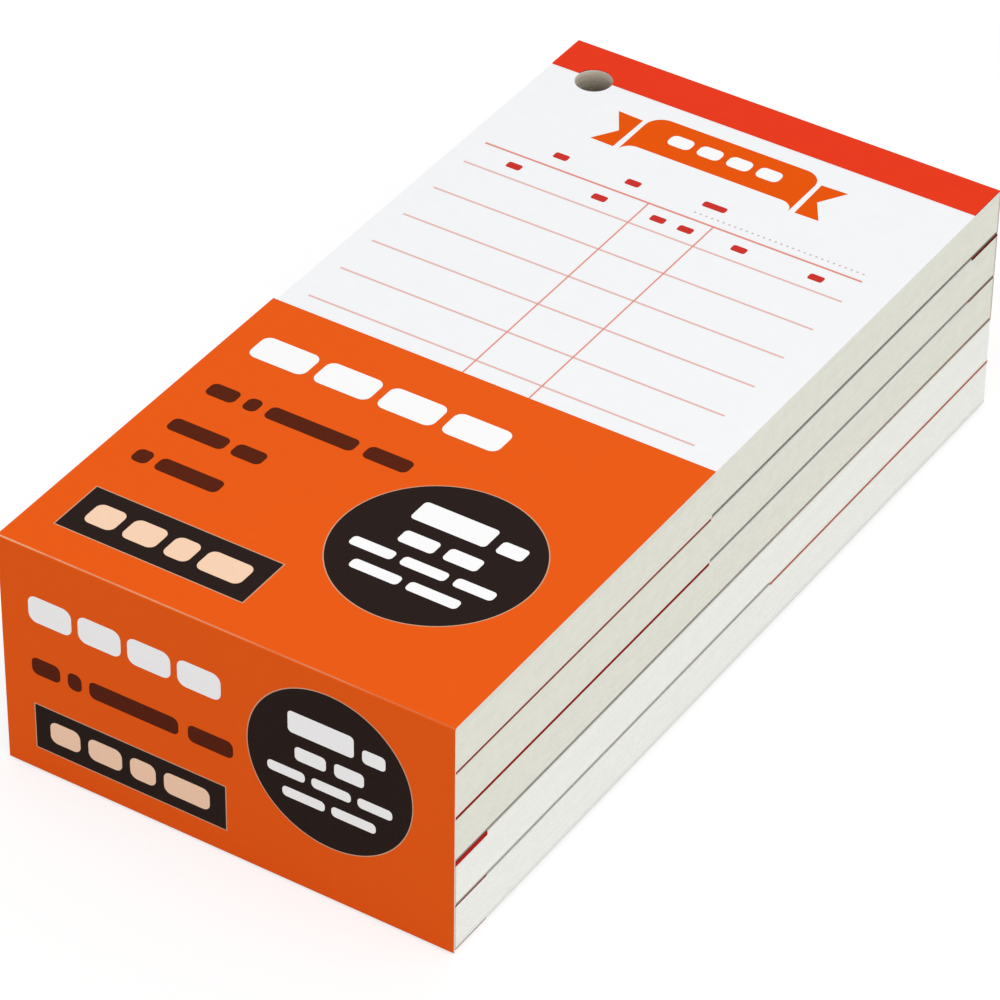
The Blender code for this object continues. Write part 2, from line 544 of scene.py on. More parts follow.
@dataclass(frozen=True)
class PressInk(Finish):
    """Offset ink on paper: a thin matt film, a little uneven where the paper drank it."""

    mottle_mm: float = 0.45

    def draw(self, tree: Tree, where: Node) -> Pattern:
        """Draw the uneven film."""
        mottle = add_node(
            tree,
            NOISE,
            {"Vector": where.outputs["Object"], "Scale": per_mm(self.mottle_mm), "Detail": 3.0},
        )
        return (self.tone(tree, mottle),)


BOND_PAPER = BondPaper("bond_paper", "#F9FAFC", "#F4F5F7", 0.85, 0.15)
CREAM_PAGES = CutPages("guillotined_pages_cream", "#F4F4E9", "#EAEADF", 0.9, 0.1)
WHITE_PAGES = CutPages("guillotined_pages_white", "#FEFEFA", "#F8F8F3", 0.9, 0.1)
CREAM_LINING = ("#F4F3E9", "#E9E8DD")
WHITE_LINING = ("#FBFBF7", "#F1F1EB")
PADDING_GLUE = GrainedSheet("padding_glue", "#EFE9DA", "#E2DAC6", 0.4, 0.4, fibre_mm=3.0)
# The tapes' dark cut sides and the darker lip tapes paint the shade of the joints between pads.
RED_TAPE = GrainedSheet("binding_tape_red", "#EC3B1B", "#E83819", 0.6, 0.04, cut="#741611")
GREY_SHADED_TAPE = replace(RED_TAPE, name="binding_tape_grey_painted_shade", cut="#6C6654")
BROWN_SHADED_TAPE = replace(RED_TAPE, name="binding_tape_brown_painted_shade", cut="#553C2C")
SHADED_LIP_TAPE = GrainedSheet("binding_tape_lip_painted_shade", "#BC1914", "#B41511", 0.6, 0.04)
DARK_SHADED_TAPE = GrainedSheet("binding_tape_dark_painted_shade", "#54090A", "#4C0708", 0.6, 0.04)
RED_INK = PressInk("form_ink_red", "#D0352F", "#C82D27", 0.8, 0.1)
RULE_INK = PressInk("form_ink_rules", "#E8988A", "#E29082", 0.8, 0.1)
ROSE_INK = PressInk("form_ink_rose", "#EABDB5", "#E6B6AE", 0.8, 0.1)
GREY_INK = PressInk("form_ink_grey", "#D2C3C6", "#C7B8BB", 0.8, 0.1)
RIBBON_INK = PressInk("form_ink_orange", "#EC5A08", "#E85406", 0.8, 0.04)
WHITE_INK = PressInk("label_ink_white", "#FFFFFF", "#FAFAFA", 0.7, 0.1)
BROWN_INK = PressInk("label_ink_brown", "#5E2410", "#4F1C0B", 0.7, 0.04)
BLACK_INK = PressInk("label_ink_black", "#2A1E1B", "#231815", 0.7, 0.04)
PEACH_INK = PressInk("label_ink_peach", "#FCD8BC", "#F8CFB0", 0.7, 0.1)
RIM_INK = PressInk("label_ink_rim", "#D9A98C", "#CFA084", 0.7, 0.1)


class Workshop:
    """Makes each finish once, coats the frame's solids and turns meshes into pieces."""

    def __init__(self, nodes: dict[str, bpy.types.Object]) -> None:
        """Start with no finish made.

        Args:
            nodes: The frame's objects by node.
        """
        self.nodes = nodes
        self.made: dict[str, bpy.types.Material] = {}

    def material(self, finish: Finish) -> bpy.types.Material:
        """Give a finish's material, made when it is first asked for.

        Args:
            finish: The finish.

        Returns:
            Its material.
        """
        if finish.name not in self.made:
            self.made[finish.name] = finish.build()
        return self.made[finish.name]

    def coat(self, node: str, finish: Finish) -> None:
        """Put one finish on a whole solid of the frame.

        Args:
            node: The solid's node.
            finish: Its finish.
        """
        coats = self.nodes[node].data.materials
        coats.clear()
        coats.append(self.material(finish))
        LOG.info("%s: %s", node, finish.name)

    def piece(self, name: str, builder: Builder, finishes: list[Finish], body: str) -> bpy.types.Object:
        """Turn a bmesh, already in its place, into a piece that moves with a body.

        Args:
            name: The piece's name.
            builder: The mesh, which is freed.
            finishes: Its finishes, by the faces' material numbers.
            body: The body that it rides on.

        Returns:
            The new object.
        """
        bmesh.ops.recalc_face_normals(builder, faces=builder.faces[:])
        mesh = bpy.data.meshes.new(name)
        builder.to_mesh(mesh)
        builder.free()
        for finish in finishes:
            mesh.materials.append(self.material(finish))
        made = bpy.data.objects.new(name, mesh)
        bpy.context.scene.collection.objects.link(made)
        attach(made, body)
        LOG.info("%s: %d faces, rides on %s", name, len(mesh.polygons), body)
        return made


def pull(builder: Builder, faces: list[bmesh.types.BMFace], way: Place) -> None:
    """Pull flat faces out into a solid.

    Args:
        builder: The mesh that holds them.
        faces: Faces that lie in one plane.
        way: How far to pull them, and which way.
    """
    pulled = bmesh.ops.extrude_face_region(builder, geom=faces, use_keep_orig=True)
    moved = [item for item in pulled["geom"] if isinstance(item, bmesh.types.BMVert)]
    bmesh.ops.translate(builder, verts=moved, vec=way)


def sweep(centre: Point, radius: float, start: float, end: float, steps: int) -> list[Point]:
    """Points along a round corner.

    Args:
        centre: The middle of the round.
        radius: Its radius.
        start: The first angle, in degrees.
        end: The last angle, in degrees.
        steps: How many straight steps it takes.

    Returns:
        The points, both ends among them.
    """
    turns = [math.radians(start + (end - start) * step / steps) for step in range(steps + 1)]
    x, y = centre
    return [(x + radius * math.cos(turn), y + radius * math.sin(turn)) for turn in turns]


@dataclass
class PrintRun:
    """Flat printed shapes of one ink on one face, in the face's own millimetres."""

    name: str
    ink: PressInk
    base_mm: float
    film_mm: float = 0.008
    corner_steps: int = 5
    builder: Builder = field(default_factory=bmesh.new)

    def bar(self, across: Span, up: Span, corner_mm: float = 0.0) -> None:
        """Print a bar, with round corners if wanted.

        Args:
            across: Its left and right ends.
            up: Its lower and upper edges.
            corner_mm: Radius of its corners.
        """
        middle = (sum(across) / 2, sum(up) / 2, self.base_mm + self.film_mm / 2)
        size = (across[1] - across[0], up[1] - up[0], self.film_mm, 1.0)
        place = Matrix.Translation(middle) @ Matrix.Diagonal(size)
        made = bmesh.ops.create_cube(self.builder, size=1.0, matrix=place)["verts"]
        if corner_mm > 0.0:
            edges = {edge for vert in made for edge in vert.link_edges}
            tall = self.film_mm / 2
            upright = [e for e in edges if abs(e.verts[0].co.z - e.verts[1].co.z) > tall]
            bmesh.ops.bevel(
                self.builder,
                geom=upright,
                offset=corner_mm,
                segments=self.corner_steps,
                profile=0.5,
                affect="EDGES",
                material=-1,
            )

    def row(self, bars: BarRow, corner_mm: float) -> None:
        """Print a row of bars of one height.

        Args:
            bars: The bars' ends, and the edges that they share.
            corner_mm: Radius of their corners.
        """
        spans, up = bars
        for across in spans:
            self.bar(across, up, corner_mm)

    def disc(self, centre: Point, radius: float, sides: int = 96) -> None:
        """Print a disc.

        Args:
            centre: Its middle.
            radius: Its radius.
            sides: How many sides stand for its round.
        """
        bmesh.ops.create_cone(
            self.builder,
            cap_ends=True,
            segments=sides,
            radius1=radius,
            radius2=radius,
            depth=self.film_mm,
            matrix=Matrix.Translation((*centre, self.base_mm + self.film_mm / 2)),
        )

    def shape(self, outline: list[Point]) -> None:
        """Print a closed outline."""
        verts = [self.builder.verts.new((x, y, self.base_mm)) for x, y in outline]
        pull(self.builder, [self.builder.faces.new(verts)], (0.0, 0.0, self.film_mm))

    def lay(self, shop: Workshop, place: Matrix, body: str) -> bpy.types.Object:
        """Lay the run on its face.

        Args:
            shop: Where pieces are made.
            place: The face's millimetres to the frame's metres.
            body: The body that it rides on.

        Returns:
            The printed piece.
        """
        bmesh.ops.transform(self.builder, matrix=place, verts=self.builder.verts[:])
        return shop.piece(self.name, self.builder, [self.ink], body)


@dataclass
class PadPlace:
    """One pad's own millimetres: x from its left edge, y from its foot, z from its front."""

    number: int
    turned: bool
    low: Vector = field(init=False)
    high: Vector = field(init=False)

    def __post_init__(self) -> None:
        """Take the front slip's corners from the frame."""
        self.low, self.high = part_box(self.node("front_slip"))

    @property
    def body(self) -> str:
        """Name of the body that the pad is."""
        return f"pad_{self.number}"

    def node(self, part: str) -> str:
        """Name of one of the pad's nodes."""
        return f"{self.body}_{part}"

    def matrix(self) -> Matrix:
        """Turn pad millimetres into the frame's metres.

        Returns:
            The matrix that does it.
        """
        corner = self.high if self.turned else self.low
        turn = math.pi if self.turned else 0.0
        place = Matrix.Translation((corner.x, corner.y, self.high.z))
        return place @ Matrix.Rotation(turn, 4, "Z") @ Matrix.Scale(MM, 4)

    def extent(self, part: str) -> tuple[Vector, Vector]:
        """Lowest and highest corners of one of the pad's nodes, in pad millimetres.

        Args:
            part: The node's name after the pad's.

        Returns:
            The two corners.
        """
        into = self.matrix().inverted()
        ends = [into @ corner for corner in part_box(self.node(part))]
        low = Vector([min(a, b) for a, b in zip(*ends)])
        high = Vector([max(a, b) for a, b in zip(*ends)])
        return low, high


@dataclass
class SlipStack:
    """The slips under a pad's front slip, cut to one size but never quite flush."""

    pad: PadPlace
    finish: CutPages
    foot_reach_mm: float
    count: int = 99
    air_mm: float = 0.004
    hole_at: Point = (8.0, 141.77)
    hole_radius_mm: float = 3.0
    hole_sides: int = 32
    spare_mm: float = 0.03
    scatter_mm: float = 0.011
    drift_mm: float = 0.012

    def cut_slip(self, builder: Builder, size: Vector, thickness: float) -> None:
        """Cut one slip with its punched hole, lying at height zero.

        Args:
            builder: The mesh that gets the slip.
            size: The slip's width and length.
            thickness: Its thickness.
        """
        right, head = size.x - self.spare_mm, size.y
        left, foot = self.spare_mm, -self.foot_reach_mm
        outline = [(left, foot), (right, foot), (right, head), (left, head)]
        ring = [builder.verts.new((x, y, 0.0)) for x, y in outline]
        for ends in zip(ring, ring[1:] + ring[:1]):
            builder.edges.new(ends)
        bmesh.ops.create_circle(
            builder,
            cap_ends=False,
            segments=self.hole_sides,
            radius=self.hole_radius_mm,
            matrix=Matrix.Translation((*self.hole_at, 0.0)),
        )
        up = (0.0, 0.0, 1.0)
        bmesh.ops.triangle_fill(builder, use_beauty=True, edges=builder.edges[:], normal=up)
        pull(builder, builder.faces[:], (0.0, 0.0, thickness))
        builder.normal_update()
        centre = Vector((*self.hole_at, thickness / 2))
        for face in builder.faces:
            if (face.calc_center_median() - centre).length < self.hole_radius_mm + thickness:
                face.material_index = int(abs(face.normal.z) < 0.5)

    def stack(self) -> Builder:
        """Stack the slips in the block's place, each a little askew.

        Returns:
            The stack's mesh.
        """
        low, high = self.pad.extent("slip_block")
        pitch = (high.z - low.z) / self.count
        builder = bmesh.new()
        self.cut_slip(builder, high - low, pitch - self.air_mm)
        first = builder.verts[:] + builder.edges[:] + builder.faces[:]
        draw = random.Random(self.pad.number)
        phase = draw.uniform(0.0, math.tau)
        for layer in range(self.count):
            slip = bmesh.ops.duplicate(builder, geom=first)["geom"] if layer else first
            verts = [item for item in slip if isinstance(item, bmesh.types.BMVert)]
            lean = self.drift_mm * math.sin(phase + math.tau * layer / self.count)
            across = lean + draw.gauss(0, self.scatter_mm)
            across = max(-self.spare_mm, min(self.spare_mm, across))
            along = -abs(draw.gauss(0, self.scatter_mm))
            bmesh.ops.translate(builder, verts=verts, vec=(across, along, layer * pitch))
        place = self.pad.matrix() @ Matrix.Translation((0.0, 0.0, low.z))
        bmesh.ops.transform(builder, matrix=place, verts=builder.verts[:])
        return builder

    def build(self, shop: Workshop) -> None:
        """Put the slips in the block's stead.

        Args:
            shop: Where pieces are made.
        """
        body, front = self.pad.body, self.pad.high.z
        # The hole's wall is painted with shade, from a pale rim colour down to a dark brown at depth.
        wall_with_painted_shade = PunchedWallPaintedShade(f"{body}_punched_wall_painted_shade", "#EFE4D2", "#5E5238", 0.9, 0.1, front_m=front)
        piece = shop.piece(f"{body}_slips", self.stack(), [self.finish, wall_with_painted_shade], body)
        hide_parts(self.pad.node("slip_block"))


@dataclass
class TapeLip:
    """Ends of a pad's front tape flap, which the blade pressed down over the long edges."""

    pad: PadPlace
    drops_mm: Span
    finish: GrainedSheet
    flap_mm: float = 8.0
    tape_mm: float = 0.12
    film_mm: float = 0.07
    round_mm: float = 0.09
    round_steps: int = 5
    lap_mm: float = 0.25
    side_gap_mm: float = 0.004
    front_gap_mm: float = 0.03

    def fold_over(self, builder: Builder, edge: float, out: float, drop: float) -> None:
        """Bend a strip of tape over one long edge.

        Args:
            builder: The mesh that gets the strip.
            edge: Where the long edge is, across the pad.
            out: The way out of the pad, plus or minus one.
            drop: How far the strip reaches down the side.
        """
        _, high = self.pad.extent("binding_tape")
        bend = (self.film_mm - self.round_mm, high.z - self.round_mm)
        corner = sweep(bend, self.round_mm, 90, 0, self.round_steps)
        outside = [(-self.lap_mm, high.z), *corner, (self.film_mm, -drop)]
        beside, above = self.side_gap_mm, self.front_gap_mm
        inside = [(beside, -drop), (beside, above), (-self.lap_mm, above)]
        start = high.y - self.flap_mm
        ring = [builder.verts.new((edge + out * x, start, z)) for x, z in outside + inside]
        pull(builder, [builder.faces.new(ring)], (0.0, self.flap_mm - self.tape_mm, 0.0))

    def build(self, shop: Workshop) -> None:
        """Make both ends of the flap.

        Args:
            shop: Where pieces are made.
        """
        low, high = self.pad.extent("front_slip")
        left_drop, right_drop = self.drops_mm
        builder = bmesh.new()
        self.fold_over(builder, low.x, -1.0, left_drop)
        self.fold_over(builder, high.x, 1.0, right_drop)
        bmesh.ops.transform(builder, matrix=self.pad.matrix(), verts=builder.verts[:])
        name = f"{self.pad.body}_tape_ends"
        shop.piece(name, builder, [self.finish], self.pad.body)


@dataclass(frozen=True)
class SheetEdge:
    """How a label sheet's long edges, frayed by the blade, show in the joint between two pads; below
    pad 1 their colour is darkened as painted shade of the joint.
    """

    colour: str
    rise_mm: float = 0.0
    droop_mm: float = 0.0
    askew_mm: Span = (0.0, 0.0)


PAD_LABEL_ROWS: tuple[BarRow, ...] = (
    (((6.0, 20.0), (22.0, 36.0), (38.0, 52.0)), (46.0, 51.0)),
    (((6.0, 13.0), (14.6, 30.0)), (36.0, 39.0)),
)


@dataclass
class LabelSheet:
    """The label sheet on one pad's front, thin enough to pass under the tape of the pad above."""

    pad: PadPlace
    edge: SheetEdge
    thickness_mm: float = 0.15
    fray_mm: Span = (0.002, 0.03)
    print_lift_mm: float = 0.001
    print_film_mm: float = 0.005
    print_corner_mm: float = 1.2

    def fray(self, builder: Builder, low: Vector, high: Vector) -> None:
        """Let the long edges spread outside the pad's sides.

        Args:
            builder: The mesh that gets the edges.
            low: The sheet's lowest corner.
            high: The sheet's highest corner.
        """
        start, end = self.fray_mm
        tall = self.edge.rise_mm + self.edge.droop_mm
        spread = (start + end) / 2
        for across in (low.x - spread, high.x + spread):
            middle = (across, (low.y + high.y) / 2, tall / 2 - self.edge.droop_mm)
            size = (end - start, high.y - low.y, tall, 1.0)
            place = Matrix.Translation(middle) @ Matrix.Diagonal(size)
            bmesh.ops.create_cube(builder, size=1.0, matrix=place)

    def build(self, shop: Workshop) -> None:
        """Lay the sheet in its node's place, and print it.

        Args:
            shop: Where pieces are made.
        """
        body = self.pad.body
        low, high = self.pad.extent("label")
        name = f"{body}_label_paper"
        # The sheet's cut edges and back take the edge colour: the sheet's own orange, darkened for pads
        # 2 to 5 to paint the joint's shade.
        paper = PrintedCard(name, "#EC5C14", "#E8570F", 0.6, 0.04, core=self.edge.colour)
        near, far = self.edge.askew_mm
        outline = [(near, low.y), (high.x - near, low.y), (high.x - far, high.y), (far, high.y)]
        builder = bmesh.new()
        face = builder.faces.new([builder.verts.new((x, y, low.z)) for x, y in outline])
        pull(builder, [face], (0.0, 0.0, self.thickness_mm))
        if self.edge.rise_mm:
            self.fray(builder, low, high)
        bmesh.ops.transform(builder, matrix=self.pad.matrix(), verts=builder.verts[:])
        piece = shop.piece(f"{body}_label_sheet", builder, [paper], body)
        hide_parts(self.pad.node("label"))
        base = low.z + self.thickness_mm + self.print_lift_mm
        white = PrintRun(f"{body}_label_print", WHITE_INK, base, self.print_film_mm)
        for bars in PAD_LABEL_ROWS:
            white.row(bars, self.print_corner_mm)
        white.lay(shop, self.pad.matrix(), body)


@dataclass
class Ribbon:
    """A plain ribbon: a panel with rounded shoulders between two forked tails, with title bars."""

    middle_mm: Point = (35.95, 134.4)
    half_width_mm: float = 15.0
    half_height_mm: float = 4.45
    shoulder_mm: float = 3.0
    shoulder_steps: int = 8
    foot_mm: float = 2.2
    foot_steps: int = 6
    tail_mm: tuple[Point, ...] = ((15.8, 2.2), (20.3, 2.4), (17.5, -2.1), (20.1, -6.2), (16.0, -6.3))
    title_steps_mm: tuple[float, ...] = (-7.8, -2.6, 2.6, 7.8)
    title_half_mm: float = 2.0
    title_up_mm: Span = (-1.2, 1.6)
    title_corner_mm: float = 1.0

    def print_panel(self, orange: PrintRun) -> None:
        """Print the panel and its tails.

        Args:
            orange: The run that gets them.
        """
        mid_x, mid_y = self.middle_mm
        wide, tall = self.half_width_mm, self.half_height_mm
        shoulder, foot = self.shoulder_mm, self.foot_mm
        above, below = mid_y + tall - shoulder, mid_y - tall - foot
        bends = (
            ((mid_x + wide - shoulder, above), shoulder, 0, 90, self.shoulder_steps),
            ((mid_x - wide + shoulder, above), shoulder, 90, 180, self.shoulder_steps),
            ((mid_x - wide + foot, below), foot, 180, 90, self.foot_steps),
            ((mid_x + wide - foot, below), foot, 90, 0, self.foot_steps),
        )
        orange.shape([point for bend in bends for point in sweep(*bend)])
        for side in (-1.0, 1.0):
            orange.shape([(mid_x + side * x, mid_y + y) for x, y in self.tail_mm])

    def print_title(self, white: PrintRun) -> None:
        """Print the title's plain bars.

        Args:
            white: The run that gets them.
        """
        mid_x, mid_y = self.middle_mm
        half = self.title_half_mm
        middles = [mid_x + step for step in self.title_steps_mm]
        spans = tuple((middle - half, middle + half) for middle in middles)
        low, high = self.title_up_mm
        white.row((spans, (mid_y + low, mid_y + high)), self.title_corner_mm)


HEADING_ROWS: tuple[BarRow, ...] = (
    (tuple((x, x + 2.5) for x in (9.1, 24.3, 34.6, 39.4, 48.7, 61.9)), (114.5, 116.0)),
    (((13.7, 16.2), (26.5, 29.0)), (120.6, 122.1)),
    (((39.3, 43.3),), (122.0, 123.4)),
)


@dataclass
class CheckForm:
    """The form printed on a front slip: a ribbon, a table and the places for its headings."""

    pad: PadPlace
    left_mm: float = 3.3
    right_mm: float = 69.3
    head_line_mm: float = 118.15
    first_row_mm: float = 112.15
    row_pitch_mm: float = 8.35
    row_count: int = 12
    foot_line_mm: float = 9.8
    columns_mm: tuple[float, ...] = (32.5, 43.8)
    head_rule_mm: float = 0.42
    column_rule_mm: float = 0.27
    row_rule_mm: float = 0.38
    heading_corner_mm: float = 0.4
    dots_mm: Span = (39.5, 69.1)
    dots_up_mm: float = 119.95
    dot_pitch_mm: float = 1.0
    dot_radius_mm: float = 0.2
    dot_sides: int = 12
    base_mm: float = 0.002
    row_film_mm: float = 0.006
    title_lift_mm: float = 0.009
    title_film_mm: float = 0.004

    def print_table(self, rules: PrintRun, rows: PrintRun) -> None:
        """Print the table: its head and foot rules and its columns, then its rows.

        Args:
            rules: The run of the rules and columns.
            rows: The run of the rows.
        """
        span = (self.left_mm, self.right_mm)
        half = self.head_rule_mm / 2
        for height in (self.head_line_mm, self.foot_line_mm):
            rules.bar(span, (height - half, height + half))
        between = (self.foot_line_mm + half, self.head_line_mm - half)
        half = self.column_rule_mm / 2
        for across in self.columns_mm:
            rules.bar((across - half, across + half), between)
        half = self.row_rule_mm / 2
        for row in range(self.row_count):
            height = self.first_row_mm - row * self.row_pitch_mm
            rows.bar(span, (height - half, height + half))

    def print_dots(self, grey: PrintRun) -> None:
        """Print the dotted rule over the last column.

        Args:
            grey: The run that gets the dots.
        """
        start, end = self.dots_mm
        for step in range(int((end - start) / self.dot_pitch_mm) + 1):
            middle = (start + step * self.dot_pitch_mm, self.dots_up_mm)
            grey.disc(middle, self.dot_radius_mm, self.dot_sides)

    def build(self, shop: Workshop) -> None:
        """Print the form on the pad's front slip.

        Args:
            shop: Where pieces are made.
        """
        body, base = self.pad.body, self.base_mm
        rules = PrintRun(f"{body}_form_rules", RULE_INK, base)
        rows = PrintRun(f"{body}_form_rows", ROSE_INK, base, self.row_film_mm)
        red = PrintRun(f"{body}_form_headings", RED_INK, base)
        grey = PrintRun(f"{body}_form_dots", GREY_INK, base)
        orange = PrintRun(f"{body}_form_ribbon", RIBBON_INK, base)
        lift = base + self.title_lift_mm
        white = PrintRun(f"{body}_form_ribbon_title", WHITE_INK, lift, self.title_film_mm)
        self.print_table(rules, rows)
        for bars in HEADING_ROWS:
            red.row(bars, self.heading_corner_mm)
        self.print_dots(grey)
        ribbon = Ribbon()
        ribbon.print_panel(orange)
        ribbon.print_title(white)
        for run in (rules, rows, red, grey, orange, white):
            run.lay(shop, self.pad.matrix(), body)


@dataclass
class GuestCheckPad:
    """One pad: its board, glue and tape from the frame, with slips, label sheet and form added."""

    place: PadPlace
    edge: SheetEdge
    back_and_shade: BackPlyAndJointShade
    tape: GrainedSheet = RED_TAPE
    lip_drops_mm: Span = (0.0, 0.0)
    lip_finish: GrainedSheet = SHADED_LIP_TAPE

    def build(self, shop: Workshop) -> None:
        """Dress the pad.

        Args:
            shop: Where solids are coated and pieces are made.
        """
        pages, lining, reach = CREAM_PAGES, CREAM_LINING, FOOT_REACH_MM
        if self.place.turned:
            pages, lining, reach = WHITE_PAGES, WHITE_LINING, -FOOT_SPARE_MM
        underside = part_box(self.place.node("backing_board"))[0].z
        board = DuplexBoard(
            f"{self.place.body}_board", *lining, 0.9, 0.1, back_and_shade=self.back_and_shade, underside_m=underside
        )
        coats = {
            "backing_board": board,
            "front_slip": BOND_PAPER,
            "head_glue": PADDING_GLUE,
            "binding_tape": self.tape,
        }
        for part, finish in coats.items():
            shop.coat(self.place.node(part), finish)
        SlipStack(self.place, pages, reach).build(shop)
        if any(self.lip_drops_mm):
            TapeLip(self.place, self.lip_drops_mm, self.lip_finish).build(shop)
        LabelSheet(self.place, self.edge).build(shop)
        CheckForm(self.place).build(shop)


class Panel(Enum):
    """The label's three panels: each one's node, its body and the way that its print faces."""

    TOP = ("label_top_panel", "label_top", (0.0, -0.5, 1.0))
    END = ("label_end_panel", "label_end", (0.0, -1.0, 0.0))
    BOTTOM = ("label_bottom_panel", "label_base", (0.0, -0.5, -1.0))

    def __init__(self, node: str, body: str, outward: Place) -> None:
        """Name the panel's values.

        Args:
            node: Its node in the frame.
            body: The body that it is.
            outward: The way that its printed face and its fold look.
        """
        self.node = node
        self.body = body
        self.outward = outward


@dataclass(frozen=True)
class LabelLayout:
    """Where the label's plain bars, plate and disc stand on one face, in millimetres."""

    title: BarRow
    lines: tuple[BarRow, ...]
    plate: tuple[Span, Span]
    plate_bars: BarRow
    disc: tuple[Point, float]


TOP_LAYOUT = LabelLayout(
    title=(((4.6, 14.4), (15.8, 25.4), (26.8, 36.4), (37.8, 47.4)), (53.2, 58.6)),
    lines=(
        (((4.8, 9.8), (11.2, 13.6), (15.0, 30.2), (31.8, 39.4)), (42.2, 45.2)),
        (((5.0, 14.8), (16.0, 21.2)), (32.4, 35.4)),
        (((5.0, 7.8), (9.0, 19.8)), (23.8, 26.8)),
    ),
    plate=((5.2, 36.8), (6.2, 16.1)),
    plate_bars=(((7.8, 12.8), (14.2, 19.8), (21.2, 25.4), (26.8, 34.2)), (8.8, 13.4)),
    disc=((53.1, 29.4), 15.5),
)
END_LAYOUT = LabelLayout(
    title=(((4.8, 12.2), (13.3, 20.6), (21.7, 29.0), (30.1, 37.4)), (27.4, 32.0)),
    lines=((((4.9, 9.8), (11.1, 13.5), (14.8, 30.0), (31.6, 39.2)), (17.9, 20.9)),),
    plate=((5.1, 37.7), (4.45, 12.3)),
    plate_bars=(((7.6, 12.8), (14.2, 20.0), (21.4, 25.8), (27.2, 35.0)), (6.5, 10.3)),
    disc=((55.2, 23.2), 13.5),
)
# Rows of bars on the disc, in shares of its radius from its middle.
DISC_ROWS: tuple[BarRow, ...] = (
    (((-0.50, 0.30),), (0.32, 0.60)),
    (((0.40, 0.68),), (0.32, 0.50)),
    (((-0.42, -0.04), (0.06, 0.42)), (-0.02, 0.16)),
    (((-0.76, -0.30), (-0.22, 0.26), (0.34, 0.76)), (-0.29, -0.16)),
    (((-0.58, -0.06), (0.02, 0.56)), (-0.56, -0.43)),
)


@dataclass
class PackLabel:
    """The pack's folded label: its printed card and the plain bars printed on it."""

    rim_mm: float = 0.16
    base_mm: float = 0.002
    film_mm: float = 0.006
    film_gap_mm: float = 0.001
    title_corner_mm: float = 1.4
    plate_corner_mm: float = 1.2
    line_corner_mm: float = 1.0
    disc_corner_mm: float = 0.7

    def face_matrix(self, panel: Panel) -> Matrix:
        """A panel's millimetres, from its lower left corner, to the frame's metres.

        Args:
            panel: The panel, which is the top or the end one.

        Returns:
            The matrix.
        """
        low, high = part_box(panel.node)
        scale = Matrix.Scale(MM, 4)
        if panel is Panel.TOP:
            return Matrix.Translation((low.x, low.y, high.z)) @ scale
        stand = Matrix.Rotation(math.pi / 2, 4, "X")
        return Matrix.Translation((low.x, low.y, 0.0)) @ stand @ scale

    def dress(self, shop: Workshop) -> None:
        """Give the three panels their card.

        Args:
            shop: Where solids are coated.
        """
        for panel in Panel:
            name = f"{panel.node}_card"
            card = PrintedCard(name, "#EE5D12", "#EA5A10", 0.6, 0.04, outward=panel.outward)
            shop.coat(panel.node, card)

    def print_face(self, panel: Panel, layout: LabelLayout, shop: Workshop) -> None:
        """Print one face: its bars, its plate and its disc.

        Args:
            panel: The panel to print.
            layout: Where everything stands.
            shop: Where pieces are made.
        """
        body, film = panel.body, self.film_mm
        first, second, third = (self.base_mm + at * (film + self.film_gap_mm) for at in range(3))
        rim = PrintRun(f"{body}_print_rims", RIM_INK, first, film)
        black = PrintRun(f"{body}_print_black", BLACK_INK, second, film)
        white = PrintRun(f"{body}_print_white", WHITE_INK, third, film)
        peach = PrintRun(f"{body}_print_peach", PEACH_INK, third, film)
        brown = PrintRun(f"{body}_print_brown", BROWN_INK, first, film)
        (left, right), (low, high) = layout.plate
        edge = self.rim_mm
        rim.bar((left - edge, right + edge), (low - edge, high + edge))
        black.bar((left, right), (low, high))
        centre, radius = layout.disc
        rim.disc(centre, radius + edge)
        black.disc(centre, radius)
        for spans, up in DISC_ROWS:
            across = tuple((centre[0] + radius * a, centre[0] + radius * b) for a, b in spans)
            height = (centre[1] + radius * up[0], centre[1] + radius * up[1])
            white.row((across, height), self.disc_corner_mm)
        white.row(layout.title, self.title_corner_mm)
        peach.row(layout.plate_bars, self.plate_corner_mm)
        for bars in layout.lines:
            brown.row(bars, self.line_corner_mm)
        for run in (rim, black, white, peach, brown):
            run.lay(shop, self.face_matrix(panel), body)


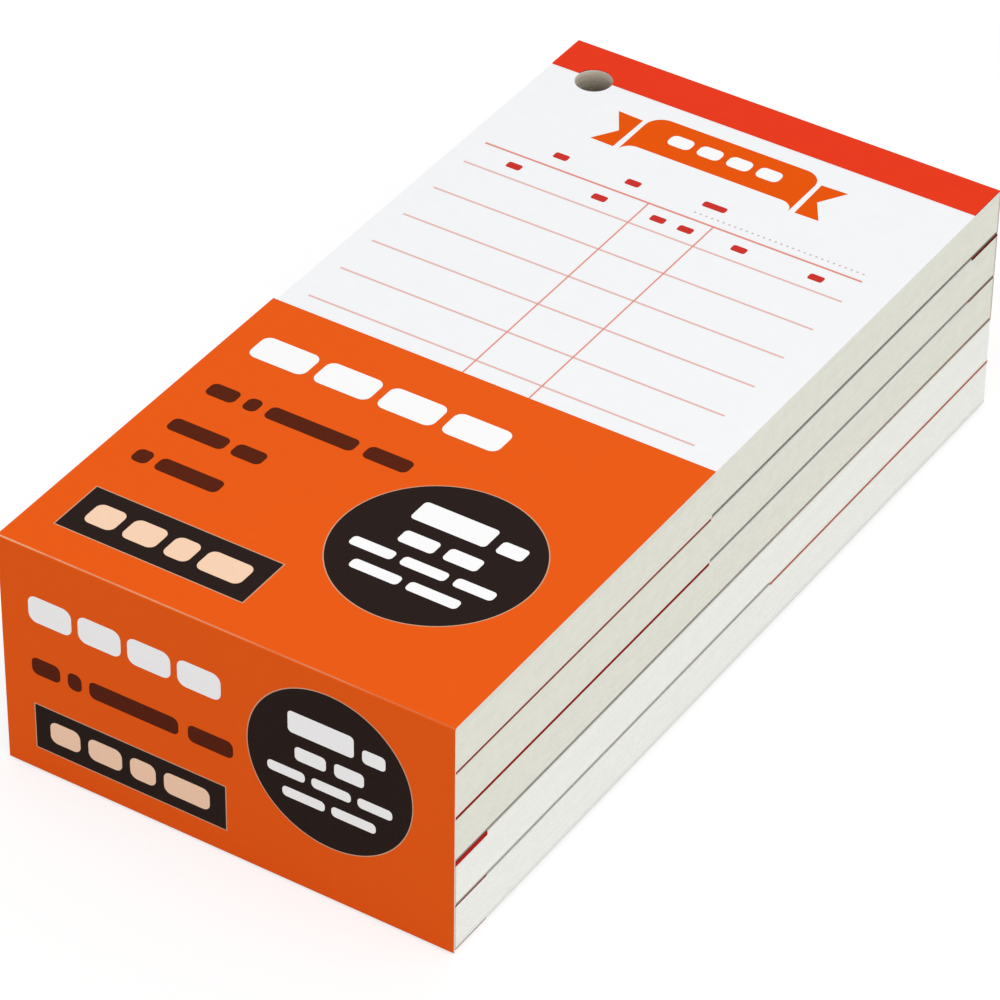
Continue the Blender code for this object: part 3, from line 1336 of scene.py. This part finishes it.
@dataclass
class Studio:
    """A white floor, an even dome of light, one large soft lamp above and the camera."""

    white: str = "#FFFFFF"
    floor_m: float = 6.0
    floor_drop_m: float = 0.0002
    floor_bounce: str = "#E4E4E4"
    floor_shown: str = "#9E9E9E"
    floor_glow: float = 0.69
    dome_strength: float = 0.635
    lamp_power: float = 8.3
    lamp_size_m: float = 1.2
    lamp_at_m: Place = (0.5, -0.3, 1.2)
    focal_mm: float = 194.77
    sensor_mm: float = 36.0
    nearest_m: float = 0.01
    eye_mm: Place = (333.87, -533.98, 502.10)
    ahead: Place = (-0.42200, 0.66808, -0.61285)
    to_right: Place = (0.84099, 0.54094, 0.01060)

    def seen_plainly(self, tree: Tree) -> Node:
        """Tell rays of the camera, a gloss or a glass from the rays that carry light.

        Args:
            tree: The tree that gets the nodes.

        Returns:
            A node that gives one for the former and zero for the latter.
        """
        path = add_node(tree, "ShaderNodeLightPath")
        seen = path.outputs["Is Camera Ray"]
        for ray in ("Is Glossy Ray", "Is Transmission Ray"):
            seen = add_node(tree, MATH, {0: seen, 1: path.outputs[ray]}, operation="MAXIMUM")
        return seen

    def lay_floor(self) -> None:
        """Lay the white floor, which keeps the pack's shadow."""
        builder = bmesh.new()
        bmesh.ops.create_grid(builder, x_segments=4, y_segments=4, size=self.floor_m / 2)
        bmesh.ops.translate(builder, verts=builder.verts[:], vec=(0.0, 0.0, -self.floor_drop_m))
        mesh = bpy.data.meshes.new("studio_floor")
        builder.to_mesh(mesh)
        builder.free()
        material = bpy.data.materials.new("studio_floor_white")
        material.use_nodes = True
        tree = material.node_tree
        plain = self.seen_plainly(tree)
        tone = add_node(
            tree, MIX, {0: plain, 6: self.floor_bounce, 7: self.floor_shown}, data_type="RGBA"
        )
        glow = add_node(tree, MATH, {0: plain, 1: self.floor_glow}, operation="MULTIPLY")
        matt = {"Base Color": tone, "Roughness": 1.0, "Specular IOR Level": 0.0}
        lit = {"Emission Color": self.white, "Emission Strength": glow}
        set_inputs(tree, tree.nodes["Principled BSDF"], {**matt, **lit})
        mesh.materials.append(material)
        floor = bpy.data.objects.new("studio_floor", mesh)
        bpy.context.scene.collection.objects.link(floor)

    def raise_dome(self) -> None:
        """Light the scene from all round, and show plain white behind it."""
        world = bpy.data.worlds.new("studio_dome")
        bpy.context.scene.world = world
        world.use_nodes = True
        tree = world.node_tree
        tree.nodes.clear()
        light, shown = (
            add_node(tree, "ShaderNodeBackground", {"Color": self.white, "Strength": strength})
            for strength in (self.dome_strength, 1.0)
        )
        both = add_node(tree, "ShaderNodeMixShader", {0: self.seen_plainly(tree), 1: light, 2: shown})
        add_node(tree, "ShaderNodeOutputWorld", {"Surface": both})

    def hang_lamp(self) -> None:
        """Hang the large soft lamp over the pack."""
        lamp = bpy.data.lights.new("studio_lamp", "AREA")
        lamp.energy = self.lamp_power
        lamp.size = self.lamp_size_m
        holder = bpy.data.objects.new("studio_lamp", lamp)
        holder.location = self.lamp_at_m
        aim = -Vector(self.lamp_at_m)
        holder.rotation_euler = aim.to_track_quat("-Z", "Y").to_euler()
        bpy.context.scene.collection.objects.link(holder)

    def set_camera(self) -> None:
        """Put the camera where the photograph was taken from."""
        lens = bpy.data.cameras.new("studio_camera")
        lens.lens = self.focal_mm
        lens.sensor_width = self.sensor_mm
        lens.clip_start = self.nearest_m
        camera = bpy.data.objects.new("studio_camera", lens)
        right = Vector(self.to_right).normalized()
        back = -Vector(self.ahead).normalized()
        up = back.cross(right)
        turn = Matrix((right, up, back)).transposed().to_4x4()
        camera.matrix_world = Matrix.Translation(Vector(self.eye_mm) * MM) @ turn
        bpy.context.scene.collection.objects.link(camera)
        bpy.context.scene.camera = camera

    def build(self) -> None:
        """Set up the whole studio."""
        bpy.context.scene.view_settings.view_transform = "Standard"
        self.lay_floor()
        self.raise_dome()
        self.hang_lamp()
        self.set_camera()
        LOG.info("studio: floor, dome, lamp and camera")


def plan_pads() -> tuple[GuestCheckPad, ...]:
    """Set out the five pads.

    Returns:
        The pads from the top down, each with what shows in its joints.
    """
    # The back lines, sheet edges and tape cut sides below are darkened to paint the shade in the joints
    # between pads.
    return (
        GuestCheckPad(
            PadPlace(1, turned=False),
            SheetEdge("#F6F3EC"),
            BackPlyAndJointShade("#6A6550", 0.4, BackAndShadeLength.FAR_HALF),
        ),
        GuestCheckPad(
            PadPlace(2, turned=False),
            SheetEdge("#86483C", rise_mm=0.31, droop_mm=0.1),
            BackPlyAndJointShade("#77715E", 0.36, BackAndShadeLength.FAR_HALF),
            tape=GREY_SHADED_TAPE,
            lip_drops_mm=(0.0, 0.16),
            lip_finish=DARK_SHADED_TAPE,
        ),
        GuestCheckPad(
            PadPlace(3, turned=False),
            SheetEdge("#880B07", rise_mm=0.31, droop_mm=0.2),
            BackPlyAndJointShade("#877A68", 0.36, BackAndShadeLength.WHOLE),
            tape=GREY_SHADED_TAPE,
        ),
        GuestCheckPad(
            PadPlace(4, turned=True),
            SheetEdge("#B8A898", askew_mm=(0.02, 0.15)),
            BackPlyAndJointShade("#9C9686", 0.32, BackAndShadeLength.LABEL_HALF),
            lip_drops_mm=(0.5, 0.2),
        ),
        GuestCheckPad(
            PadPlace(5, turned=True),
            SheetEdge("#B26A56", rise_mm=0.28, droop_mm=0.12),
            BackPlyAndJointShade("#8C897C", 0.06, BackAndShadeLength.WHOLE),
            tape=BROWN_SHADED_TAPE,
        ),
    )


def main() -> None:
    """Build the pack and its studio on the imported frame."""
    logging.basicConfig(level=logging.INFO, format="%(message)s")
    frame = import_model()
    shop = Workshop(frame["nodes"])
    for pad in plan_pads():
        pad.build(shop)
    label = PackLabel()
    label.dress(shop)
    label.print_face(Panel.TOP, TOP_LAYOUT, shop)
    label.print_face(Panel.END, END_LAYOUT, shop)
    Studio().build()


if __name__ == "__main__":
    main()
